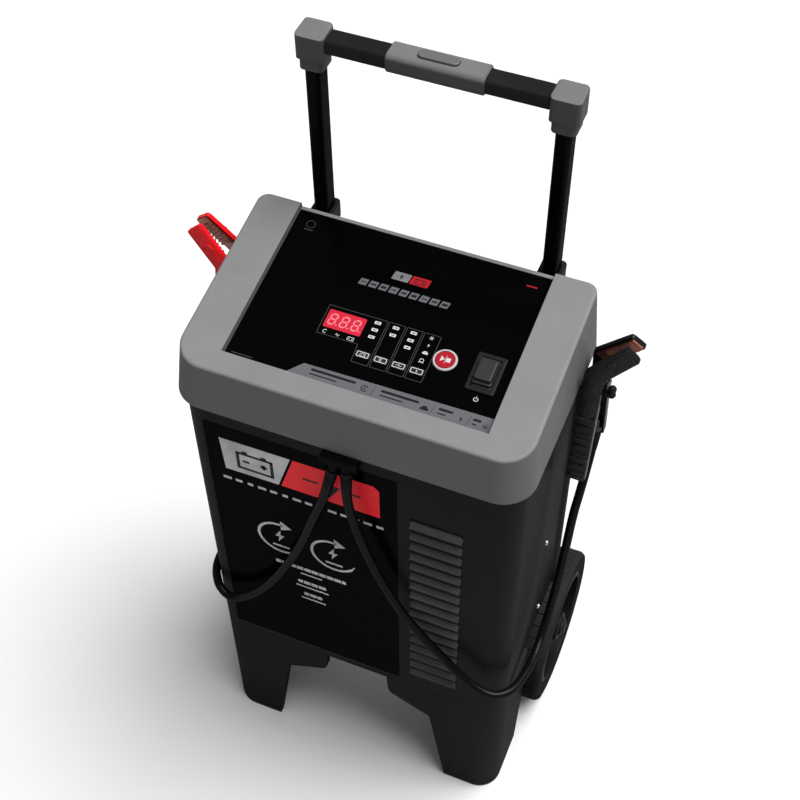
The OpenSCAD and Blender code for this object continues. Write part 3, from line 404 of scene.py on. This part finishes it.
black_cord, black_pts = lead("black_lead_cord", BLACK_ROUTE, "black_lead")
red_cord, red_pts = lead("red_lead_cord", RED_ROUTE, "red_lead")
ribbed = [(0, 6.4), (3, 6.4)]
for k in range(7):
    at, rib, groove = k * 4.2, 6.3 - k * 0.17, 5.55 - k * 0.06
    ribbed += [(5 + at, rib), (7.4 + at, rib - 0.05), (7.6 + at, groove), (8.9 + at, groove - 0.05)]
ribbed += [(38, 5.15), (39, 5.02)]
plain = [(0, 6.5), (8, 6.5), (14, 6.1), (22, 5.6), (30, 5.2), (31, 5.02)]
for tag, pts in (("black", black_pts), ("red", red_pts)):
    sleeve(tag + "_gland_relief", [p for p in pts if p.z < GLAND_FACE], ribbed)
    sleeve(tag + "_clamp_relief", [p for p in reversed(pts) if p.z < CLAMP_FACE], plain)


# ---------------------------------------------------------------- flat print
class Sheet:
    """Flat inked shapes drawn in millimetres on a plane, raised a hair above it. z is a shape's lower face."""

    INK_T, LAYER = 0.07, 0.08  # thickness of the ink, and the step from one layer to the next

    def __init__(self, matrix):
        self.m, self.inks = matrix, {}

    def poly(self, ink, pts, z=0.0, t=INK_T):
        bm = self.inks.setdefault(ink, bmesh.new())
        area = sum(a[0] * b[1] - b[0] * a[1] for a, b in zip(pts, pts[1:] + pts[:1]))
        if area < 0:
            pts = pts[::-1]
        low = [bm.verts.new(self.m @ Vector((x * MM, y * MM, z * MM))) for x, y in pts]
        top = [bm.verts.new(self.m @ Vector((x * MM, y * MM, (z + t) * MM))) for x, y in pts]
        bm.faces.new(top)
        bm.faces.new(low[::-1])
        n = len(pts)
        for k in range(n):
            bm.faces.new((low[k], low[(k + 1) % n], top[(k + 1) % n], top[k]))

    def rect(self, ink, x, y, w, h, r=0.0, z=0.0, skew=0.0):
        x0, x1, y0, y1 = x - w / 2, x + w / 2, y - h / 2, y + h / 2
        pts = round_rect(x0, x1, y0, y1, r, 6) if r > 0 else [(x0, y0), (x1, y0), (x1, y1), (x0, y1)]
        self.poly(ink, [(px + skew * (py - y), py) for px, py in pts], z)

    def frame(self, ink, x, y, w, h, line, z=0.0):
        """Outline of a rectangle."""
        x0, x1, y0, y1 = x - w / 2, x + w / 2, y - h / 2, y + h / 2
        self.line(ink, [(x0, y0), (x1, y0), (x1, y1), (x0, y1)], line, True, z)

    def line(self, ink, pts, w, closed=False, z=0.0):
        if closed:
            pts = pts + pts[:1]
        for (ax, ay), (bx, by) in zip(pts, pts[1:]):
            dx, dy = bx - ax, by - ay
            n = math.hypot(dx, dy)
            ux, uy = dx / n * w / 2, dy / n * w / 2
            self.poly(ink, [(ax - ux + uy, ay - uy - ux), (bx + ux + uy, by + uy - ux),
                            (bx + ux - uy, by + uy + ux), (ax - ux - uy, ay - uy + ux)], z)

    def arc(self, ink, x, y, r, w, a0, a1, z=0.0, n=40):
        turn = [math.radians(a0 + (a1 - a0) * k / n) for k in range(n + 1)]
        outer = [(x + (r + w / 2) * math.cos(a), y + (r + w / 2) * math.sin(a)) for a in turn]
        inner = [(x + (r - w / 2) * math.cos(a), y + (r - w / 2) * math.sin(a)) for a in turn]
        for k in range(n):
            self.poly(ink, [inner[k], outer[k], outer[k + 1], inner[k + 1]], z)

    def disc(self, ink, x, y, r, z=0.0):
        turn = [k * math.tau / 32 for k in range(32)]
        self.poly(ink, [(x + r * math.cos(a), y + r * math.sin(a)) for a in turn], z)

    def star(self, ink, x, y, r, w, z=0.0):
        """Snowflake of three crossed strokes."""
        for a in range(3):
            c, s = r * math.cos(a * math.pi / 3), r * math.sin(a * math.pi / 3)
            self.line(ink, [(x - c, y - s), (x + c, y + s)], w, False, z)

    def bolt(self, ink, x, y, s, z=0.0):
        shape = [(0.15, 1), (-0.5, -0.1), (-0.05, -0.1), (-0.2, -1), (0.5, 0.18), (0.05, 0.18)]
        self.poly(ink, [(x + a * s, y + b * s) for a, b in shape], z)

    def battery(self, ink, x, y, w, h, line, z=0.0):
        """Battery outline with its two posts and the signs minus and plus."""
        self.frame(ink, x, y, w, h, line, z)
        for s in (-1, 1):
            self.rect(ink, x + s * w * 0.28, y + h / 2 + h * 0.1, w * 0.16, h * 0.2, z=z)
            self.rect(ink, x + s * w * 0.26, y, w * 0.2, line, z=z)
        self.rect(ink, x + w * 0.26, y, line, w * 0.2, z=z)

    def done(self, name, slot, body="chassis"):
        for ink, bm in self.inks.items():
            finish_mesh(name + "_" + ink.name, bm, ink, body)


# the control panel's own plane: x to the right, y up the slope from the panel's front edge, z out of it
PANEL = Matrix.Translation((0, (26 - FRONT_Y) * MM, 676.258 * MM)) @ Matrix.Rotation(math.radians(9.3), 4, "X")
OVER = 0.62  # face of the panel film
ON_INK = OVER + Sheet.LAYER
ON_STRIP = OVER + 0.07
START_X, START_Y, START_TOP = 68.4, 65.2, 2.0
ROCKER_X, ROCKER_Y, ROCKER_HUB_Z = 110.5, 63.0, -2.5
KEY_X, KEY_Y, KEY_TOP = (-7.9, 10.6, 29.0, 47.4), 44.5, 1.3
DIGIT_X, DIGIT_Y, DIGIT_Z, DIGIT_PITCH = -38.9, 73.2, 0.52, 12.0
HEAD_Y, NAME_Y = 141.5, 124

p = Sheet(PANEL)
# outlines round the display and the four key columns
p.line(INK_LINE, [(-60.5, 87.8), (1.0, 88.0), (1.0, 34.3), (-16.0, 34.3), (-17.0, 54.4), (-60.5, 54.0)], 0.5,
       True, OVER)
for a, b in ((3.0, 19.3), (21.3, 37.2), (39.2, 56.0)):
    p.line(INK_LINE, [(a, 88), (b, 88), (b, 34.3), (a, 34.3)], 0.5, True, OVER)
# lit markers of the first three columns
for x, ys in ((-7.9, (83.2, 74.8, 66.3)), (10.8, (83.5, 74.9)), (29.1, (83.8, 75.0, 66.4))):
    for y in ys:
        p.rect(INK_WHITE, x, y, 6.4, 3.4, 0.6, OVER)
        p.rect(INK_BLACK, x, y, 3.2, 0.9, 0, ON_INK)
# marks of the fourth column
p.bolt(INK_WHITE, 47.7, 75.2, 2.4, OVER)
p.rect(INK_WHITE, 47.6, 66.0, 5.6, 2.2, 0.5, OVER)
p.rect(INK_WHITE, 47.6, 67.4, 3.2, 1.6, 0.5, OVER)
p.star(INK_WHITE, 47.6, 84, 2, 0.5, OVER)
p.arc(INK_WHITE, 47.5, 57.4, 1.9, 0.7, 0, 360, OVER)
p.line(INK_WHITE, [(45, 55.2), (50, 55.2)], 0.6, False, OVER)
# marks under the display
p.arc(INK_WHITE, -53.2, 57.8, 1.9, 0.6, 40, 320, OVER)
p.line(INK_WHITE, [(-42, 57.2), (-40.6, 59), (-39.4, 56.2), (-38, 58)], 0.6, False, OVER)
p.battery(INK_WHITE, -26.1, 57.4, 6.4, 3.4, 0.55, OVER)
# round power mark below the rocker
p.arc(INK_WHITE, 110.7, 34.2, 2.1, 0.7, 125, 415, OVER)
p.rect(INK_WHITE, 110.7, 36.0, 0.7, 2.6, 0, OVER)
# plain heading: a silver and a red tile over a row of grey tiles
p.rect(INK_SILVER, -6.5, HEAD_Y, 17.5, 10, 1.0, OVER, 0.16)
p.rect(INK_RED, 13.2, HEAD_Y, 19.0, 10, 1.0, OVER, 0.16)
p.bolt(INK_BLACK, -6.5, HEAD_Y, 4.2, ON_INK)
p.battery(INK_BLACK, 13.2, HEAD_Y - 0.5, 10.5, 5.2, 0.9, ON_INK)
for k in range(9):
    x = -40 + k * 10.7
    p.rect(INK_GREY, x, NAME_Y, 8.4, 7.6, 0.6, OVER, 0.2)
    p.rect(INK_BLACK, x, NAME_Y, 5.2, 1.1 + (k % 3) * 0.9, 0.2, ON_INK, 0.2)
# small marks in the corners
p.arc(INK_LINE, -118, 172, 4.6, 0.5, 0, 360, OVER)
p.line(INK_LINE, [(-122.6, 165), (-113.4, 165)], 0.8, False, OVER)
p.rect(INK_RED, 118, 172, 11, 1.5, 0.4, OVER)
p.rect(INK_LINE, -118, 6.2, 22, 0.7, 0, OVER)
# grey legend strip along the front
p.poly(INK_GREY, [(-72.5, 0.9), (131.0, 0.9), (134.6, 4.0), (134.8, 20.0), (-57.3, 17.5)], OVER, 0.06)
for x in (17, 77, 113):
    p.line(INK_BLACK, [(x - 1.5, 5.0), (x + 0.5, 15.5)], 0.35, False, ON_STRIP)
for x, w in ((-48, 46), (24, 38), (82, 14), (116, 8)):
    p.rect(INK_BLACK, x + w / 2, 13.4, w, 2.6, 0.4, ON_STRIP)
    p.rect(INK_BLACK, x + w * 0.3, 8.6, w * 0.6, 1.3, 0.2, ON_STRIP)
p.arc(INK_BLACK, 8, 10.6, 3.2, 0.9, 30, 330, ON_STRIP)
p.bolt(INK_BLACK, 8, 10.6, 2.4, ON_STRIP)
p.rect(INK_BLACK, 69, 8.6, 8.4, 2.6, 0.8, ON_STRIP)
p.rect(INK_BLACK, 69, 10.6, 4.6, 2.4, 0.8, ON_STRIP)
p.bolt(INK_BLACK, 105, 9.6, 3.6, ON_STRIP)
p.star(INK_BLACK, 129, 9.4, 3.2, 0.6, ON_STRIP)
p.done("panel_print", "panel_gloss")

# three lit digits on the window, leaning a little
d = Sheet(PANEL)
SEG, HALF, LEAN = 5.4, 5.7, 0.13
ACROSS = ((-SEG / 2, 0), (-SEG / 2 + 0.7, 0.75), (SEG / 2 - 0.7, 0.75), (SEG / 2, 0), (SEG / 2 - 0.7, -0.75),
          (-SEG / 2 + 0.7, -0.75))
UPRIGHT = ((0, -2.55), (0.75, -1.9), (0.75, 1.9), (0, 2.55), (-0.75, 1.9), (-0.75, -1.9))
for k in (-1, 0, 1):
    ox, oy = DIGIT_X + k * DIGIT_PITCH, DIGIT_Y
    bars = [(0, sy * HALF * 1.05, ACROSS) for sy in (-1, 0, 1)]
    bars += [(sx * (SEG / 2 + 0.45), sy * HALF * 0.525, UPRIGHT) for sx in (-1, 1) for sy in (-1, 1)]
    for x, y, shape in bars:
        d.poly(SEGMENTS, [(ox + x + a + LEAN * (y + b), oy + y + b) for a, b in shape], DIGIT_Z)
    d.disc(SEGMENTS, ox + 5.0, oy - HALF, 0.75, DIGIT_Z)
digits = finish_mesh("digits_lit", d.inks[SEGMENTS], SEGMENTS, "chassis")
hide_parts("display_digits")

# marks on the keys and the start button, each riding on its own piece
for k, x in enumerate(KEY_X):
    q = Sheet(PANEL)
    q.frame(INK_WHITE, x, KEY_Y, 11.6, 5.2, 0.8, KEY_TOP)
    if k == 0:
        q.battery(INK_WHITE, x, KEY_Y - 0.3, 5.4, 2.8, 0.4, KEY_TOP)
    elif k == 1:
        q.arc(INK_WHITE, x, KEY_Y, 1.5, 0.5, 30, 330, KEY_TOP)
        q.bolt(INK_WHITE, x, KEY_Y, 1.1, KEY_TOP)
    elif k == 2:
        wave = ((-3, 0), (-1, 0), (0, 1.4), (1, -1.2), (3, 0))
        q.line(INK_WHITE, [(x + a, KEY_Y + b) for a, b in wave], 0.45, False, KEY_TOP)
    else:
        q.bolt(INK_WHITE, x, KEY_Y, 2.0, KEY_TOP)
    q.done("key_%d_print" % (k + 1), "dark_plastic", "mode_key_%d" % (k + 1))
b = Sheet(PANEL)
b.poly(INK_WHITE, [(START_X - 4.4, START_Y + 3.2), (START_X - 4.4, START_Y - 3.2), (START_X - 0.2, START_Y)],
       START_TOP)
b.rect(INK_WHITE, START_X + 3.2, START_Y, 4.4, 4.8, 0.3, START_TOP)
b.line(INK_WHITE, [(START_X + 0.4, START_Y - 4.6), (START_X + 0.4, START_Y + 4.6)], 0.35, False, START_TOP)
b.done("start_button_print", "button_red", "start_button")

# ---------------------------------------------------------------- small solid pieces
# rocker cap: a block that rises from the switch in three soft steps
ROCKER_STEPS = (  # height above the hub, near end, far end, half width, corner radius
    (1.6, -16.6, 16.6, 10.1, 2.2), (4.0, -16.5, 16.5, 10.1, 2.2), (4.7, -15.9, 16.1, 9.8, 2.2),
    (4.9, -14.9, 15.6, 9.7, 2.2), (7.6, -14.6, 15.2, 9.6, 2.2), (8.4, -14.0, 14.6, 9.2, 2.2),
    (8.6, -12.4, 13.8, 8.9, 2.2), (11.6, -12.0, 12.6, 8.7, 2.2), (12.5, -11.3, 11.6, 8.2, 2.2),
    (12.7, -10.1, 10.4, 7.2, 1.2))
rings = []
for z, near, far, half, corner in ROCKER_STEPS:
    rings.append([PANEL @ Vector(((ROCKER_X + x) * MM, (ROCKER_Y + y) * MM, (ROCKER_HUB_Z + z) * MM))
                  for x, y in round_rect(-half, half, near, far, corner, 5)])
bm = bmesh.new()
skin(bm, rings)
bmesh.ops.recalc_face_normals(bm, faces=bm.faces[:])
rocker_cap = finish_mesh("rocker_cap", bm, ROCKER, "power_switch")
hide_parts("power_rocker")

# the three blades in the mains inlet
INLET_X, INLET_Z = 88, 270
BLADE_W, BLADE_H = 1, 2.6  # half sizes
BLADE_RINGS = (197.9, 1.0), (209.5, 1.0), (211.5, 0.6)  # distance back, and how wide the blade is there
bm = bmesh.new()
for dx, dz in ((-7, -2), (7, -2), (0, 2.5)):
    corners = [(sx * BLADE_W, sz * BLADE_H) for sx, sz in ((-1, -1), (1, -1), (1, 1), (-1, 1))]
    skin(bm, [[((INLET_X + dx + x * k) * MM, (y - FRONT_Y) * MM, (INLET_Z + dz + z * k) * MM)
               for x, z in corners] for y, k in BLADE_RINGS])
bmesh.ops.recalc_face_normals(bm, faces=bm.faces[:])
finish_mesh("mains_inlet_blades", bm, STEEL, "chassis")

# ---------------------------------------------------------------- front label
# the same plain marks, larger
f = Sheet(Matrix.Translation((0, (0.4 - FRONT_Y) * MM, 0)) @ Matrix.Rotation(math.pi / 2, 4, "X"))
f.poly(LABEL_SILVER, [(-139, 577), (-60, 578), (-76, 528), (-136, 527)])
f.poly(LABEL_RED, [(-57, 578), (30, 579), (36, 573), (36, 528), (-73, 528)])
f.battery(INK_BLACK, -101, 549, 38, 24, 3.6, Sheet.LAYER)
f.bolt(INK_BLACK, -16, 553, 20, Sheet.LAYER)
for s in (-1, 1):
    f.line(INK_BLACK, [(-16 + s * 16, 553), (-16 + s * 30, 553)], 3.2, False, Sheet.LAYER)
for k in range(14):
    f.rect(LABEL_SILVER, -136 + k * 13.2, 511, 9.6 - (k % 3) * 1.6, 4.2, 0.5)
# two round arrows, each with a bolt inside
for cx in (-82, -19.5):
    f.arc(LABEL_SILVER, cx, 427, 25.5, 3.4, 80, 325)
    f.poly(LABEL_SILVER, [(cx + 2, 460), (cx + 2, 444), (cx + 15, 450.5)])
    f.arc(LABEL_SILVER, cx, 427, 25.5, 1.6, 325, 340)
    f.bolt(LABEL_SILVER, cx - 0.5, 431, 11)
    f.rect(LABEL_SILVER, cx, 412, 20, 3.0, 0.6)
# three notched bars, each over a thin one
for z, w, thin_z, thin_w in ((380, 84, 370, 26), (353, 34, 343.5, 40), (329, 22, 319.5, 30)):
    f.rect(LABEL_SILVER, -49, z, w, 5.6, 0.8)
    for k in range(w // 9):
        f.rect(INK_BLACK, -49 - w / 2 + 6.5 + k * 9, z, 1.1, 5.6, 0, Sheet.LAYER)
    f.rect(LABEL_SILVER, -49, thin_z, thin_w, 2.4, 0.8)
f.done("label_print", "label_gloss")

# ---------------------------------------------------------------- light and floor
FLOOR_HALF = 9
FLOOR_TONES = (0.40, 0.40, 0.40), (0.42, 0.42, 0.42)
WORLD_LIGHT = 0.3

bm = bmesh.new()
bmesh.ops.create_grid(bm, x_segments=4, y_segments=4, size=FLOOR_HALF)
me = bpy.data.meshes.new("floor")
bm.to_mesh(me)
bm.free()
floor = bpy.data.objects.new("floor", me)
scene.collection.objects.link(floor)
fm, fnt, fb, fco = new_mat("floor_pale")
fnt.links.new(blend_color(fnt, remap(fnt, noise(fnt, fco, 2.0), 0, 1), *FLOOR_TONES), fb.inputs["Base Color"])
fb.inputs["Roughness"].default_value = 0.9
fb.inputs["Specular IOR Level"].default_value = 0.1
me.materials.append(fm)

world = bpy.data.worlds.new("studio")
scene.world = world
world.use_nodes = True
background = world.node_tree.nodes["Background"]
background.inputs[0].default_value = (1.0, 1.0, 1.0, 1)
background.inputs[1].default_value = WORLD_LIGHT


def sun(name, direction, strength, angle):
    data = bpy.data.lights.new(name, "SUN")
    data.energy = strength
    data.angle = math.radians(angle)
    ob = bpy.data.objects.new(name, data)
    ob.rotation_mode = "QUATERNION"
    ob.rotation_quaternion = Vector(direction).to_track_quat("-Z", "Y")
    scene.collection.objects.link(ob)


# wide, soft suns from above, kept clear of the panel's mirror direction, and a weak one from the front
sun("key", (-0.3, -0.05, -1.0), 5.4, 40)
sun("back", (-0.6, -0.45, -1.0), 3.0, 50)
sun("fill", (0.1, 0.9, -0.5), 0.2, 60)

scene.view_settings.view_transform = "Standard"
